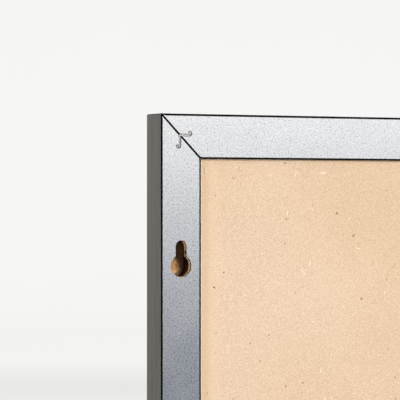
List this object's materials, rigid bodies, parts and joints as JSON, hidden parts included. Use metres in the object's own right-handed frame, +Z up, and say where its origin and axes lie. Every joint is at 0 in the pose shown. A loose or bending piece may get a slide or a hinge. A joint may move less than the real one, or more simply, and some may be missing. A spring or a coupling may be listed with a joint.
{
  "type": "framed cork bulletin board",
  "caption": "Wall-hung rectangular cork pin board with a wrapped, mitred fibreboard frame, a hardboard back and keyhole slots in the side rails.",
  "frame": {"origin": "on the frame's rear plane, midway between the places in the two keyhole slots where the wall screws seat", "axes": "+X to the right as seen from the front, +Y from the cork towards the wall, +Z up"},
  "size_m": [0.61, 0.017, 0.457],
  "materials": {
    "fibreboard": "raw medium-density fibreboard, cut and routed",
    "graphite_film": "matte warm graphite film with faint lengthwise streaks",
    "silver_foil": "satin silver foil with a fine metallic speckle",
    "nail_steel": "bright rolled steel strip",
    "hardboard": "raw tan hardboard with pale fibres and a few dark flecks",
    "softboard": "raw fibrous softboard",
    "cork": "natural agglomerated cork granules, matte"
  },
  "bodies": {
    "root": {"top_rail": "fibreboard", "bottom_rail": "fibreboard", "left_rail": "fibreboard", "right_rail": "fibreboard", "top_rail_film": "graphite_film", "bottom_rail_film": "graphite_film", "left_rail_film": "graphite_film", "right_rail_film": "graphite_film", "top_rear_foil": "silver_foil", "bottom_rear_foil": "silver_foil", "left_rear_foil": "silver_foil", "right_rear_foil": "silver_foil", "v_nail_top_left": "nail_steel", "v_nail_top_right": "nail_steel", "v_nail_bottom_left": "nail_steel", "v_nail_bottom_right": "nail_steel", "hardboard_back": "hardboard", "softboard_core": "softboard", "cork_sheet": "cork"}
  },
  "joints": []
}
